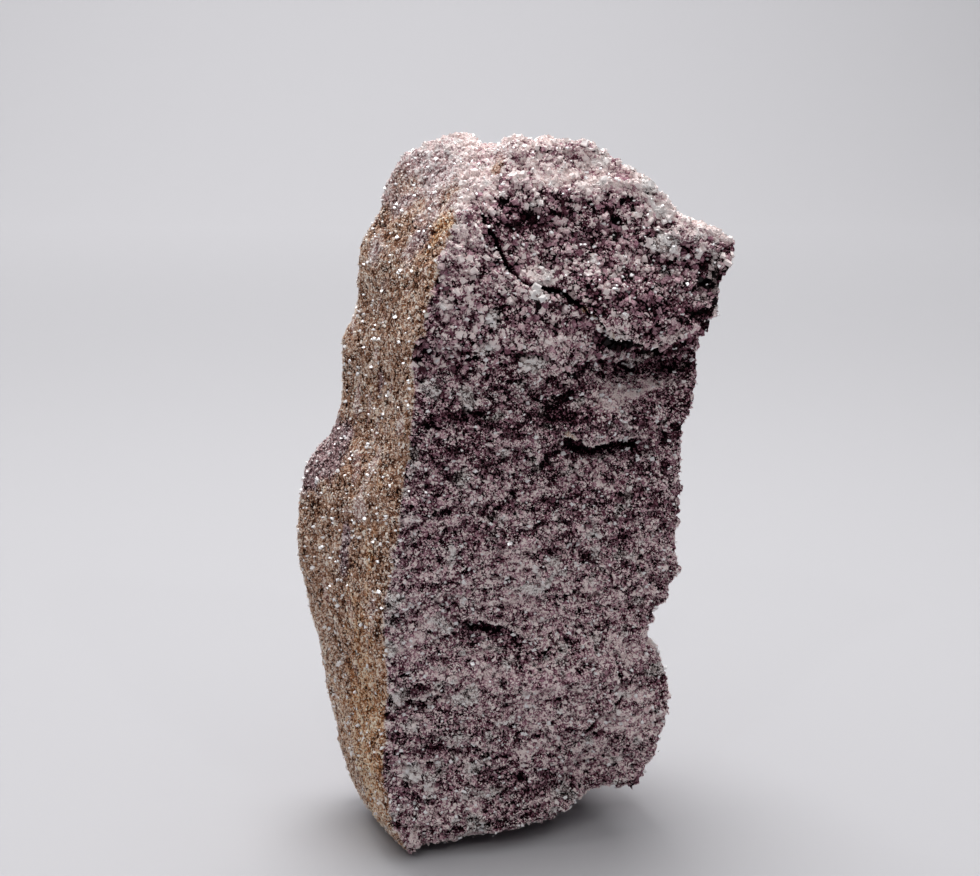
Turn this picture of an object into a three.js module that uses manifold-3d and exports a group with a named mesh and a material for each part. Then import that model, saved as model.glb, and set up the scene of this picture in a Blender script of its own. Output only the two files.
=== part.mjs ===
// Raw lepidolite: one standing block of fine, scaly mica rock, in millimetres, +Z up.
// Its broken face looks along -Y and its flat, weathered face along -X. It stands on a small
// flat at z = 0, with the origin under the middle of its bounding box.

import * as THREE from "three";
import { mergeVertices } from "three/addons/utils/BufferGeometryUtils.js";
import { ImprovedNoise } from "three/addons/math/ImprovedNoise.js";
import Module from "manifold-3d";

const wasm = await Module();
wasm.setup();

// Driving dimensions
const height = 150;
const width = 66;
const depth = 40;
const edgeWear = 2.4;
const gridStep = 3;
const rockColour = 0x65535a;
const rockRoughness = 0.6;

// The four upright corners, as x and y at each height z. Only the front two and the back left
// one are seen in outline; the back right one is a plausible guess.
const frontLeftCorner = [
  { z: 0, x: -29, y: -19 },
  { z: 4, x: -31.5, y: -20 },
  { z: 9, x: -34, y: -20.5 },
  { z: 21, x: -36, y: -20 },
  { z: 33, x: -33.8, y: -19.5 },
  { z: 44, x: -34, y: -20 },
  { z: 53, x: -35, y: -20 },
  { z: 66, x: -32.7, y: -20.5 },
  { z: 91, x: -28.8, y: -20 },
  { z: 113, x: -26.5, y: -20.5 },
  { z: 124, x: -23.7, y: -20 },
  { z: 132, x: -20.5, y: -18.5 },
  { z: 139, x: -16.5, y: -16 },
  { z: 144, x: -12.5, y: -13 },
  { z: 149, x: -8, y: -9 },
];
const frontRightCorner = [
  { z: 7, x: 24.5, y: -18 },
  { z: 14, x: 27.8, y: -18 },
  { z: 21, x: 31, y: -18 },
  { z: 30, x: 32.8, y: -18 },
  { z: 38, x: 32.3, y: -18 },
  { z: 44, x: 28, y: -17 },
  { z: 51, x: 30.5, y: -18 },
  { z: 60, x: 34.8, y: -18 },
  { z: 71, x: 35.3, y: -18 },
  { z: 80, x: 35, y: -18 },
  { z: 87, x: 35, y: -17.5 },
  { z: 100, x: 38.4, y: -17 },
  { z: 108, x: 40.6, y: -17.5 },
  { z: 113, x: 42.5, y: -19 },
  { z: 119, x: 42.6, y: -20 },
  { z: 124, x: 44.6, y: -19 },
  { z: 132, x: 46.5, y: -18 },
  { z: 140, x: 45, y: -14.5 },
  { z: 147, x: 44, y: -10 },
  { z: 151, x: 43, y: -5 },
];
const backLeftCorner = [
  { z: 0, x: -34.5, y: 11 },
  { z: 5, x: -36.5, y: 16 },
  { z: 18, x: -38.5, y: 18 },
  { z: 34, x: -41.5, y: 19 },
  { z: 46, x: -44.3, y: 19 },
  { z: 58, x: -45.4, y: 19 },
  { z: 72, x: -45.6, y: 19 },
  { z: 81, x: -44.9, y: 19 },
  { z: 85, x: -41.5, y: 19 },
  { z: 90, x: -37, y: 19 },
  { z: 97, x: -36, y: 19 },
  { z: 109, x: -35.5, y: 19 },
  { z: 116, x: -32.2, y: 19 },
  { z: 129, x: -31.8, y: 18 },
  { z: 136, x: -28.5, y: 17 },
  { z: 146, x: -25, y: 14 },
  { z: 152, x: -22, y: 12 },
];
const backRightCorner = [
  { z: 0, x: 17, y: 11 },
  { z: 16, x: 25, y: 17 },
  { z: 38, x: 29, y: 21 },
  { z: 62, x: 27, y: 22 },
  { z: 84, x: 30, y: 20 },
  { z: 108, x: 32, y: 19 },
  { z: 128, x: 28, y: 17 },
  { z: 140, x: 20, y: 13 },
];

// Heights of the block's underside and top, across from the left side (0) to the right (1).
// Below zero is cut away later, which leaves the flat that the block stands on.
const undersideFront = [
  { across: 0, z: -0.5 },
  { across: 0.32, z: 1 },
  { across: 0.58, z: 2.6 },
  { across: 0.67, z: 4.5 },
  { across: 0.76, z: 7.5 },
  { across: 0.88, z: 11.8 },
  { across: 0.95, z: 10.2 },
  { across: 1, z: 7 },
];
const undersideBack = [
  { across: 0, z: 3 },
  { across: 0.25, z: 0.5 },
  { across: 0.75, z: 0 },
  { across: 1, z: 5 },
];
const undersideSag = 5;
const topFront = [
  { across: 0, z: 148.5 },
  { across: 0.1, z: 151.5 },
  { across: 0.24, z: 153.3 },
  { across: 0.42, z: 153.8 },
  { across: 0.56, z: 152 },
  { across: 0.66, z: 148 },
  { across: 0.82, z: 138.5 },
  { across: 0.94, z: 134 },
  { across: 1, z: 133 },
];
const topBack = [
  { across: 0, z: 151 },
  { across: 0.15, z: 152.6 },
  { across: 0.34, z: 153.7 },
  { across: 0.46, z: 153.2 },
  { across: 0.6, z: 149 },
  { across: 0.7, z: 143 },
  { across: 1, z: 133 },
];

// Valley that crosses the top from front to back, between its two humps
const topValley = { from: [-9.5, -15], to: [0.5, 17], reach: 4.6, depth: 3.4 };

// Swellings (out > 0) and hollows (out < 0) of the faces: the middle, the reach each way, and
// how far they stand out. On the front and back "s" is x, and on the two sides it is y.
const swells = [
  { face: "front", s: 5, z: 133, reachS: 24, reachZ: 11, out: -3.5 }, // hollow under the rim
  { face: "front", s: 25, z: 117, reachS: 22, reachZ: 13, out: 3.5 }, // brow over the ledge
  { face: "front", s: 20, z: 101, reachS: 26, reachZ: 13, out: -2.5 }, // bay under the ledge
  { face: "front", s: 15, z: 95.5, reachS: 12, reachZ: 8, out: 3.5 }, // lump in the bay
  { face: "front", s: -19, z: 108, reachS: 13, reachZ: 8, out: -2.5 }, // dark bay at the left edge
  { face: "front", s: -7, z: 100.5, reachS: 15, reachZ: 6, out: -2 }, // second bay below it
  { face: "front", s: -16, z: 82, reachS: 9, reachZ: 7, out: 1.8 }, // pale knob
  { face: "front", s: -2, z: 84, reachS: 10, reachZ: 6, out: -2 }, // pocket beside the knob
  { face: "front", s: 0, z: 52, reachS: 30, reachZ: 9, out: -1.8 }, // shallow trough
  { face: "front", s: 1, z: 38, reachS: 34, reachZ: 19, out: 3.2 }, // belly
  { face: "front", s: -6, z: 8, reachS: 26, reachZ: 14, out: 2.5 }, // toe
  { face: "front", s: 13, z: 14, reachS: 18, reachZ: 10, out: -2.5 }, // falls away below the belly
  { face: "left", s: -2, z: 100, reachS: 22, reachZ: 22, out: -1.6 }, // slight dish
  { face: "left", s: 14, z: 66, reachS: 18, reachZ: 18, out: 1.5 }, // shoulder
  { face: "right", s: 2, z: 118, reachS: 20, reachZ: 16, out: 3 },
  { face: "right", s: 6, z: 96, reachS: 20, reachZ: 10, out: -3 },
  { face: "right", s: 6, z: 68, reachS: 18, reachZ: 16, out: 2.5 },
  { face: "right", s: -4, z: 45, reachS: 20, reachZ: 8, out: -3 },
  { face: "right", s: 4, z: 26, reachS: 18, reachZ: 13, out: 2 },
  { face: "back", s: -16, z: 122, reachS: 20, reachZ: 18, out: -3 },
  { face: "back", s: 12, z: 104, reachS: 22, reachZ: 20, out: 3 },
  { face: "back", s: -10, z: 76, reachS: 26, reachZ: 16, out: 3.5 },
  { face: "back", s: 16, z: 58, reachS: 18, reachZ: 14, out: -3 },
  { face: "back", s: -14, z: 34, reachS: 22, reachZ: 16, out: -2.5 },
];

// Ledges and cracks, each along a line of points [s, z, share of the full depth]. A crack is cut
// in on its line. A ledge is undercut just below its line and runs out again over "below".
const grooves = [
  {
    // deep undercut below the brow, out to the right edge
    face: "front",
    line: [
      [11.5, 117.3, 0.2],
      [14.5, 115, 0.6],
      [17.5, 112, 0.9],
      [22.5, 108.5, 1],
      [28, 109.5, 1],
      [35, 112, 0.8],
      [41, 115, 0.4],
    ],
    depth: 5,
    below: 7,
  },
  {
    // crack that runs on from the undercut, up and left
    face: "front",
    line: [
      [-11.5, 140, 0.3],
      [-10, 134, 0.7],
      [-8, 128.5, 1],
      [-4.5, 125.3, 1],
      [0.5, 124, 0.8],
      [4.5, 122, 0.8],
      [7.5, 120.5, 0.3],
    ],
    depth: 3.5,
  },
  {
    // shadow line under the lump
    face: "front",
    line: [
      [4.5, 95, 0.3],
      [9, 91, 1],
      [15, 89.5, 1],
      [22, 91, 0.7],
      [27, 93.5, 0.2],
    ],
    depth: 3,
    below: 2.6,
  },
  {
    // step under the left edge's pale band
    face: "front",
    line: [
      [-31, 112.5, 1],
      [-21, 113.5, 1],
      [-13, 111, 0.6],
      [-8, 109.5, 0.2],
    ],
    depth: 2.6,
    below: 2.4,
  },
  {
    // small step above the belly, at the left edge
    face: "front",
    line: [
      [-38, 37, 0.8],
      [-29, 37, 1],
      [-21, 38.5, 0.8],
      [-16, 41, 0.2],
    ],
    depth: 2.4,
    below: 2,
  },
  {
    // fine slanting crack on the belly
    face: "front",
    line: [
      [14, 26, 0.3],
      [17.5, 29.5, 1],
      [21, 33, 0.4],
    ],
    depth: 2,
  },
  {
    face: "right",
    line: [
      [-22, 115.5, 0.8],
      [-16, 114, 1],
      [-8, 111, 1],
      [4, 110.5, 0.9],
      [14, 112.5, 0.3],
    ],
    depth: 3.5,
    below: 2.4,
  },
  {
    face: "right",
    line: [
      [-22, 45, 0.3],
      [-8, 42.5, 1],
      [6, 45, 0.7],
      [14, 48, 0.2],
    ],
    depth: 3.5,
  },
  {
    face: "back",
    line: [
      [-30, 64, 0.3],
      [-16, 60, 1],
      [0, 62, 1],
      [12, 67, 0.3],
    ],
    depth: 4,
    below: 3,
  },
  {
    face: "back",
    line: [
      [-12, 112, 0.3],
      [2, 116, 1],
      [14, 114, 0.8],
      [26, 109, 0.2],
    ],
    depth: 3.2,
    below: 2.4,
  },
];
const crackMouth = 0.9; // half a crack's width at the surface
const ledgeLip = 0.25; // how far above its line a ledge's lip lies
const ledgeFloor = 0.8; // how far below its line the undercut is deepest

// Flat chips off the corners: the plane passes through "at" and faces "toward"
const chips = [
  { at: [26, 17, 138], toward: [0.75, 0.5, 0.62] },
  { at: [-22, 17, 146], toward: [-0.5, 0.55, 0.72] },
  { at: [27, 19, 30], toward: [0.8, 0.62, -0.2] },
  { at: [22, 16, 10], toward: [0.55, 0.5, -0.72] },
  { at: [-31, 14, 8], toward: [-0.35, 0.62, -0.72] },
];

// Roughness of the broken rock. The weathered left face keeps only a share of it.
const roughness = { coarse: 17, coarseHeight: 1, fine: 7, fineHeight: 0.75, flatten: 1.35 };
const weatheredShare = 0.35;

const up = new THREE.Vector3(0, 0, 1);
const faceTurns = { front: 0, right: Math.PI / 2, back: Math.PI, left: -Math.PI / 2 };
const perlin = new ImprovedNoise();

// Straight-line interpolation in a table, by one of its columns.
function readTable(table, key, at, wanted) {
  const last = table.length - 1;
  if (at <= table[0][key]) return table[0][wanted];
  if (at >= table[last][key]) return table[last][wanted];
  const i = table.findIndex((row) => row[key] > at);
  const share = (at - table[i - 1][key]) / (table[i][key] - table[i - 1][key]);
  return THREE.MathUtils.lerp(table[i - 1][wanted], table[i][wanted], share);
}

// A hill that is 1 in the middle and falls smoothly to 0 at distance 1.
function hill(distance) {
  return distance < 1 ? (1 - distance * distance) ** 2 : 0;
}

// Two octaves of noise around 0, about 1 high, for a point in millimetres.
function roughNoise(x, y, z, size) {
  const coarse = perlin.noise(x / size, y / size, z / size);
  const half = size / 2;
  return 1.3 * coarse + 0.6 * perlin.noise(x / half + 7, y / half + 3, z / half + 5);
}

// Wears the edges of a straight box round, for a point on its surface.
function wornBoxPoint(point, halfSizes) {
  const inner = halfSizes.clone().subScalar(edgeWear);
  const core = point.clone().clamp(inner.clone().negate(), inner);
  return core.add(point.clone().sub(core).setLength(edgeWear));
}

// A place in the block, from shares (0 to 1) of its width, depth and height.
function blockPoint(across, back, rise) {
  const frontToBack = (front, rear) => THREE.MathUtils.lerp(front, rear, back);
  const sag = undersideSag * Math.sin(Math.PI * back) * Math.sqrt(Math.sin(Math.PI * across));
  const under = frontToBack(
    readTable(undersideFront, "across", across, "z"),
    readTable(undersideBack, "across", across, "z"),
  );
  const top = frontToBack(
    readTable(topFront, "across", across, "z"),
    readTable(topBack, "across", across, "z"),
  );
  const z = THREE.MathUtils.lerp(under - sag, top, rise);
  const leftToRight = (left, right, axis) =>
    THREE.MathUtils.lerp(readTable(left, "z", z, axis), readTable(right, "z", z, axis), across);
  const place = (axis) =>
    frontToBack(
      leftToRight(frontLeftCorner, frontRightCorner, axis),
      leftToRight(backLeftCorner, backRightCorner, axis),
    );
  return new THREE.Vector3(place("x"), place("y"), z);
}

function faceToward(face) {
  return new THREE.Vector3(0, -1, 0).applyAxisAngle(up, faceTurns[face]);
}

// How much a surface normal belongs to a face, from 0 to 1.
function faceShare(face, normal) {
  return THREE.MathUtils.smoothstep(normal.dot(faceToward(face)), 0.2, 0.75);
}

// Which axis runs sideways along a face.
function sideways(face) {
  return face === "front" || face === "back" ? "x" : "y";
}

// Presses a point back onto any chip plane that it lies outside of.
function chipped(point) {
  for (const { at, toward } of chips) {
    const facing = new THREE.Vector3(...toward).normalize();
    const outside = point.clone().sub(new THREE.Vector3(...at)).dot(facing);
    if (outside > 0) point.addScaledVector(facing, -outside);
  }
  return point;
}

// Nearest place to a point on a groove's line, both taken flat on the face.
function nearestOnLine(line, point) {
  const step = new THREE.Line3();
  const foot = new THREE.Vector3();
  let nearest = { away: Infinity };
  for (let i = 1; i < line.length; i++) {
    const [fromS, fromZ, fromShare] = line[i - 1];
    const [toS, toZ, toShare] = line[i];
    step.set(new THREE.Vector3(fromS, fromZ, 0), new THREE.Vector3(toS, toZ, 0));
    const along = step.closestPointToPointParameter(point, true);
    step.at(along, foot);
    const away = foot.distanceTo(point);
    if (away >= nearest.away) continue;
    const uphill = new THREE.Vector3(fromZ - toZ, toS - fromS, 0).normalize();
    nearest = {
      away,
      uphill,
      foot: foot.clone(),
      isAbove: point.clone().sub(foot).dot(uphill) > 0,
      share: THREE.MathUtils.lerp(fromShare, toShare, along),
    };
  }
  return nearest;
}

// How a crack or ledge treats a point near its line: how far off the line it belongs, with
// above counted as positive, and which share of the depth it is pressed in by.
function grooveProfile(groove, away, isAbove) {
  const stay = isAbove ? away : -away;
  if (!groove.below) {
    if (away < gridStep / 2) return { off: 0, press: 1 };
    if (away < gridStep * 1.5) return { off: isAbove ? crackMouth : -crackMouth, press: 0 };
    return { off: stay, press: 0 };
  }
  if (isAbove) return { off: away < gridStep ? ledgeLip : away, press: 0 };
  if (away < gridStep) return { off: -ledgeFloor, press: 1 };
  const runOut = Math.max(groove.below, gridStep * 1.2);
  return { off: stay, press: Math.max(0, 1 - (away - gridStep) / runOut) };
}

// Draws the surface in to every crack and ledge that a point lies near.
function grooved(point, normal) {
  for (const groove of grooves) {
    const weight = faceShare(groove.face, normal);
    if (weight === 0) continue;
    const axis = sideways(groove.face);
    const flat = new THREE.Vector3(point[axis], point.z, 0);
    const { away, uphill, foot, isAbove, share } = nearestOnLine(groove.line, flat);
    const { off, press } = grooveProfile(groove, away, isAbove);
    const wanted = foot.addScaledVector(uphill, off);
    const isNear = off !== (isAbove ? away : -away);
    const pull = isNear ? weight * Math.min(1, share * 2) : 0;
    point[axis] = THREE.MathUtils.lerp(point[axis], wanted.x, pull);
    point.z = THREE.MathUtils.lerp(point.z, wanted.y, pull);
    point.addScaledVector(faceToward(groove.face), -groove.depth * share * press * weight);
  }
  return point;
}

// Brings the surface out or in at a point for every swelling or hollow that it lies in.
function swollen(point, normal) {
  const from = point.clone();
  for (const swell of swells) {
    const s = from[sideways(swell.face)];
    const away = Math.hypot((s - swell.s) / swell.reachS, (from.z - swell.z) / swell.reachZ);
    const out = swell.out * hill(away) * faceShare(swell.face, normal);
    point.addScaledVector(faceToward(swell.face), out);
  }
  return point;
}

// Lowers the top along its valley.
function valleyed(point, normal) {
  const line = [topValley.from, topValley.to].map(([x, y]) => new THREE.Vector3(x, y, 0));
  const flat = new THREE.Vector3(point.x, point.y, 0);
  const foot = new THREE.Line3(...line).closestPointToPoint(flat, false, new THREE.Vector3());
  const upward = THREE.MathUtils.smoothstep(normal.z, 0.3, 0.8);
  point.z -= topValley.depth * hill(foot.distanceTo(flat) / topValley.reach) * upward;
  return point;
}

// Roughens the surface at a point, less on the weathered side.
function broken(point, normal) {
  const { x, y } = point;
  const z = point.z * roughness.flatten;
  const coarse = roughness.coarseHeight * roughNoise(x, y, z, roughness.coarse);
  const fine = roughness.fineHeight * roughNoise(x + 40, y, z, roughness.fine);
  const keep = THREE.MathUtils.lerp(1, weatheredShare, faceShare("left", normal));
  return point.addScaledVector(normal, (coarse + fine) * keep);
}

// Leaves a geometry only its positions, so that shared corners can be merged.
function bare(geometry) {
  geometry.deleteAttribute("normal");
  geometry.deleteAttribute("uv");
  return geometry;
}

// Moves each point of a geometry to where a function of the point and its normal says.
function reshaped(geometry, place) {
  geometry.computeVertexNormals();
  const position = geometry.getAttribute("position");
  const normal = geometry.getAttribute("normal");
  for (let i = 0; i < position.count; i++) {
    const point = new THREE.Vector3().fromBufferAttribute(position, i);
    const facing = new THREE.Vector3().fromBufferAttribute(normal, i);
    position.setXYZ(i, ...place(point, facing).toArray());
  }
  geometry.deleteAttribute("normal");
  return geometry;
}

// Splits each four-sided cell of a box grid along its shorter diagonal, so that ridges stay whole.
function splitShort(geometry) {
  const { index } = geometry;
  const position = geometry.getAttribute("position");
  const corner = (i) => new THREE.Vector3().fromBufferAttribute(position, i);
  for (let i = 0; i < index.count; i += 6) {
    const [a, b, d] = [index.getX(i), index.getX(i + 1), index.getX(i + 2)];
    const c = index.getX(i + 4);
    if (corner(a).distanceTo(corner(c)) > corner(b).distanceTo(corner(d))) continue;
    [a, b, c, a, c, d].forEach((vertex, k) => index.setX(i + k, vertex));
  }
  return geometry;
}

// The block's surface: a fine box, worn at its edges, bent to the corner tables and roughened.
function blockGeometry() {
  const boxSize = new THREE.Vector3(width, depth, height);
  const half = boxSize.clone().divideScalar(2);
  const cells = boxSize.toArray().map((size) => Math.round(size / gridStep));
  const box = new THREE.BoxGeometry(...boxSize.toArray(), ...cells);
  const bent = reshaped(mergeVertices(bare(box)), (point) => {
    const share = wornBoxPoint(point, half).add(half).divide(boxSize);
    return chipped(blockPoint(share.x, share.y, share.z));
  });
  const formed = reshaped(bent, (point, normal) =>
    broken(valleyed(swollen(grooved(point, normal), normal), normal), normal),
  );
  return splitShort(formed);
}

// A closed geometry, with position as its only attribute, as a solid that can be cut.
function solidOf(geometry) {
  const merged = mergeVertices(geometry);
  return new wasm.Manifold(
    new wasm.Mesh({
      numProp: 3,
      vertProperties: new Float32Array(merged.getAttribute("position").array),
      triVerts: new Uint32Array(merged.index.array),
    }),
  );
}

function geometryOf(solid) {
  const mesh = solid.getMesh();
  return new THREE.BufferGeometry()
    .setAttribute("position", new THREE.BufferAttribute(mesh.vertProperties, 3))
    .setIndex(new THREE.BufferAttribute(mesh.triVerts, 1));
}

// Cuts the underside flat at z = 0 for the block to stand on.
function standing(geometry) {
  const reach = 2 * height;
  const floor = new THREE.BoxGeometry(reach, reach, reach);
  floor.translate(0, 0, -reach / 2);
  return geometryOf(solidOf(geometry).subtract(solidOf(bare(floor))));
}

function lepidoliteBlock() {
  const geometry = standing(blockGeometry());
  geometry.computeBoundingBox();
  const { min, max } = geometry.boundingBox;
  geometry.translate(-(min.x + max.x) / 2, -(min.y + max.y) / 2, -min.z);
  const fit = height / (max.z - min.z);
  geometry.scale(fit, fit, fit);
  geometry.computeVertexNormals();
  const material = new THREE.MeshStandardMaterial({
    color: rockColour,
    roughness: rockRoughness,
    metalness: 0,
  });
  const mesh = new THREE.Mesh(geometry, material);
  mesh.name = "lepidolite_block";
  return mesh;
}

const specimen = new THREE.Group();
specimen.add(lepidoliteBlock());

export default specimen;
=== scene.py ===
import itertools
import math

import bmesh
import bpy
import numpy as np
from mathutils import Matrix, Vector


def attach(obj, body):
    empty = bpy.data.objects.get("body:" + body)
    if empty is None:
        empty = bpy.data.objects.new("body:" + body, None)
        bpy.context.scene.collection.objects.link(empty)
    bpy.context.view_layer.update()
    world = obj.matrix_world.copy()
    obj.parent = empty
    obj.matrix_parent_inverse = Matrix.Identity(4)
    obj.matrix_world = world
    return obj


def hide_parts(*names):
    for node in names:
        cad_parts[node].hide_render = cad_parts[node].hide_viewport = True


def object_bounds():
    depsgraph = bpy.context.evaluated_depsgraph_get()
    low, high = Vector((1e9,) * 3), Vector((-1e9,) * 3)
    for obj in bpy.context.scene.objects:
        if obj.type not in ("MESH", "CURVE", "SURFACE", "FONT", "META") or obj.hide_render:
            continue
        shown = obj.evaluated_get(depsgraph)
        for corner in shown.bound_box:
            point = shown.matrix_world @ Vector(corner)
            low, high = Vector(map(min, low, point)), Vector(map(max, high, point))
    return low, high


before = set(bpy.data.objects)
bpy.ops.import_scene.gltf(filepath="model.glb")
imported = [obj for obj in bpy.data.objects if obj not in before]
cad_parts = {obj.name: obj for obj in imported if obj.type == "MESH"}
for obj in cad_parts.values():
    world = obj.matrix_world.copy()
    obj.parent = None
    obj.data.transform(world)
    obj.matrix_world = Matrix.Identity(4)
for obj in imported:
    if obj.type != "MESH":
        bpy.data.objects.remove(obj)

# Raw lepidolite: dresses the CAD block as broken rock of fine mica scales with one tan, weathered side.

cadLow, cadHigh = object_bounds()
print("frame loaded")

blockName = "lepidolite_block"
low, high = np.array(cadLow), np.array(cadHigh)
size = high - low
mm = 0.001

# sRGB colours of the grains, from the darkest gaps to the palest scales
freshShades = ["#050001", "#3a1620", "#774856", "#ab7f8d", "#ddb8bf", "#fceeeb"]
quartzShades = ["#0e0809", "#4b3c3d", "#8f7d7b", "#c5b5b2", "#e8dbd8", "#fbf6f4"]
skinShades = ["#160803", "#5b3526", "#9a6c53", "#c69d83", "#e3c7b1", "#faf0e6"]
rosyShades = ["#170909", "#5e4043", "#957375", "#c1a3a4", "#e2cac9", "#faf1f0"]
rustyShades = ["#150701", "#603318", "#a86b43", "#d29c70", "#eecba6", "#fbf0dd"]


def linear(shade):
    # an sRGB hex colour as linear red, green and blue, by the sRGB standard's own curve
    parts = [int(shade[i : i + 2], 16) / 255 for i in (1, 3, 5)]
    return [c / 12.92 if c < 0.04045 else ((c + 0.055) / 1.055) ** 2.4 for c in parts]


def blend(a, b, share):
    # from a (share 0) to b (share 1)
    return a * (1 - share) + b * share


def ease(value, start, end):
    # 0 up to start, 1 from end on, smooth between
    t = np.clip((value - start) / (end - start), 0, 1)
    return t * t * (3 - 2 * t)


# Noise in space, for rows of points in metres

# large numbers without common factors, which scatter the numbers of neighbouring cells
hashSteps = (73856093, 19349663, 83492791)
hashSeed = 26544357
hashMix = 1274126177
hashRange = 0x7FFFFFFF
hashTop = 0xFFFF
hashShifts = (13, 15)
layerContrast = 1.4  # layers together come out flatter than one layer, and this makes up for it
# what is added to a seed for the place of each grain, its rise and its tilt
placeSeeds = (1, 2, 3)
riseSeed = 7
tiltSeeds = (8, 9, 10)

# a seed for each noise, so that every run gives the same rock
seeds = {
    "lumps": 11, "clumps": 13, "grains": 17, "fineGrains": 19,
    "skinEdge": 31, "skinEdgeFine": 35, "patches": 41, "blotches": 45, "bands": 48,
    "kinds": 51, "drips": 55, "smallKinds": 57, "specks": 59,
    "finePits": 63, "coarsePits": 66,
    "wanderAcross": 91, "wanderUp": 92,
}

# space is stretched by these before a noise is read: more up and down makes flat patches, less makes drips
lumpStretch = np.array([1, 1, 1.3])
patchStretch = np.array([0.7, 0.7, 1.35])
bandStretch = np.array([0.3, 0.3, 1.4])
pitStretch = np.array([0.8, 0.8, 1.25])
dripStretch = np.array([1, 1, 0.25])


def cellNumber(cell, seed):
    # one fixed random number from 0 to 1 for each whole-numbered cell
    x, y, z = (cell[..., k] * hashSteps[k] for k in range(3))
    mixed = (x ^ y ^ z ^ (seed * hashSeed)) & hashRange
    mixed = ((mixed ^ (mixed >> hashShifts[0])) * hashMix) & hashRange
    return ((mixed ^ (mixed >> hashShifts[1])) & hashTop) / hashTop


def smoothNoise(points, scale, seed):
    # one layer of noise from -1 to 1, with lumps about as large as scale
    spaced = points / scale
    cell = np.floor(spaced).astype(np.int64)
    part = ease(spaced - cell, 0, 1)
    total = np.zeros(len(points))
    for corner in itertools.product((0, 1), repeat=3):
        weight = np.prod(np.where(corner, part, 1 - part), axis=1)
        total += weight * cellNumber(cell + np.array(corner), seed)
    return 2 * total - 1


def roughNoise(points, scale, seed, layers=3):
    # layered noise, about -1 to 1
    total, reach = 0, 0
    for layer in range(layers):
        share = 0.5**layer
        total = total + share * smoothNoise(points, scale * share, seed + layer)
        reach += share
    return total / reach * layerContrast


def grainCells(points, scale, seed):
    # which grain each point lies in, among grains about as large as scale, how far it is from the seam with
    # the next one, and its place from the grain's middle
    spaced = points / scale
    home = np.floor(spaced).astype(np.int64)
    nearest, second = np.full((2, len(points)), np.inf)
    owner = np.zeros_like(home)
    offset = np.zeros_like(points)
    for shift in itertools.product((-1, 0, 1), repeat=3):
        cell = home + np.array(shift)
        centre = cell + np.stack([cellNumber(cell, seed + k) for k in placeSeeds], axis=1)
        away = spaced - centre
        distance = np.linalg.norm(away, axis=1)
        isNearer = distance < nearest
        second = np.where(isNearer, nearest, np.minimum(second, distance))
        nearest = np.where(isNearer, distance, nearest)
        owner[isNearer] = cell[isNearer]
        offset[isNearer] = away[isNearer]
    return owner, (second - nearest) * scale, offset * scale


# Where things are: (across, up) as shares of the block's box, reach in mm each way, strength

# grey-white quartz
quartzMarks = [
    (0.4, 0.761, 1.7, 3.0, 0.95),
    (0.81, 0.852, 4.8, 2.4, 0.95),
    (0.79, 0.929, 3.5, 2.0, 0.8),
    (0.16, 0.383, 2.6, 2.6, 0.9),
    (0.49, 0.376, 3.9, 2.2, 0.7),
    (0.2, 0.124, 2.2, 3.5, 0.8),
    (0.35, 0.129, 3.0, 3.5, 0.6),
    (0.32, 0.544, 2.4, 3.0, 0.7),
    (0.21, 0.580, 3.0, 1.7, 0.7),
    (0.19, 0.529, 2.6, 1.5, 0.7),
    (0.34, 0.641, 2.0, 1.5, 0.8),
    (0.25, 0.671, 4.3, 2.2, 0.6),
    (0.5, 0.559, 2.2, 1.3, 0.5),
    (0.15, 0.312, 1.7, 2.2, 0.7),
    (0.18, 0.242, 4.3, 2.2, 0.5),
    (0.52, 0.907, 4.8, 2.6, 0.5),
    (0.38, 0.718, 3.5, 2.2, 0.6),
    (0.69, 0.957, 3.5, 1.7, 0.5),
]
# pale, scaly patches
paleMarks = [
    (0.63, 0.975, 6.5, 1.7, 0.9),
    (0.53, 0.659, 3.9, 2.0, 0.5),
    (0.58, 0.555, 9.8, 1.7, 0.4),
    (0.67, 0.520, 3.0, 1.7, 0.5),
    (0.26, 0.490, 3.5, 3.9, 0.3),
    (0.44, 0.413, 5.2, 3.5, 0.4),
    (0.76, 0.430, 3.5, 3.5, 0.35),
    (0.52, 0.256, 14.1, 2.2, 0.6),
    (0.64, 0.171, 4.8, 2.0, 0.5),
    (0.35, 0.874, 3.5, 3.0, 0.9),
    (0.33, 0.905, 4.8, 7.0, 1.0),
    (0.32, 0.871, 5.2, 3.5, 0.9),
    (0.31, 0.837, 3.0, 4.3, 0.8),
    (0.52, 0.961, 8.7, 3.7, 0.9),
    (0.68, 0.960, 7.4, 2.4, 0.9),
    (0.77, 0.921, 4.3, 2.6, 0.85),
    (0.82, 0.904, 5.4, 2.0, 1.0),
    (0.89, 0.873, 5.2, 1.7, 0.9),
    (0.55, 0.737, 5.7, 2.0, 0.35),
    (0.39, 0.728, 4.8, 2.6, 0.35),
    (0.67, 0.747, 3.0, 1.3, 0.5),
    (0.25, 0.545, 3.5, 2.2, 0.3),
    (0.37, 0.263, 5.7, 2.0, 0.5),
    (0.2, 0.307, 3.9, 3.5, 0.5),
    (0.42, 0.366, 5.7, 2.6, 0.3),
    (0.67, 0.254, 3.9, 3.9, 0.5),
    (0.73, 0.290, 3.9, 10.0, 0.3),
    (0.19, 0.135, 3.5, 3.5, 0.5),
    (0.68, 0.098, 6.5, 2.2, 0.4),
    (0.27, 0.435, 3.5, 2.0, 0.3),
    (0.64, 0.368, 5.2, 1.7, 0.3),
    (0.3, 0.489, 3.0, 2.0, 0.4),
    (0.25, 0.477, 3.0, 2.0, 0.4),
    (0.29, 0.088, 5.7, 3.0, 0.4),
    (0.7, 0.539, 4.3, 2.2, 0.4),
]
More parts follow.
